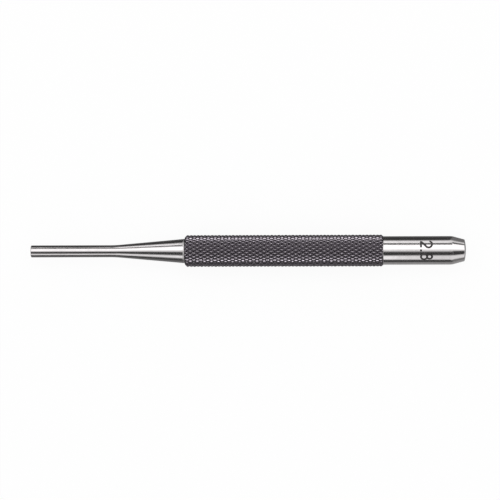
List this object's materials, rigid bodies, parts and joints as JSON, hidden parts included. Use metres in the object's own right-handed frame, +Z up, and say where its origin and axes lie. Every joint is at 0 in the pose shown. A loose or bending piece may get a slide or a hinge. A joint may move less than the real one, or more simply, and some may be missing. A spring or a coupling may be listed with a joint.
{
  "type": "pin punch",
  "caption": "Slim drive pin punch: straight pin on a taper, black diamond-knurled grip, and a bright head with a tapered crown and domed striking face.",
  "frame": {"origin": "middle of the flat tip face, on the tool's axis", "axes": "+X along the tool's axis from the tip to the striking face, +Z up; the punch lies on its side on its grip"},
  "size_m": [0.1016, 0.0074, 0.0074],
  "materials": {
    "bright_steel": "hardened, ground and polished",
    "black_oxide": "diamond knurl with black oxide"
  },
  "bodies": {
    "root": {"punch_bar": "bright_steel", "knurled_grip": "black_oxide"}
  },
  "joints": []
}
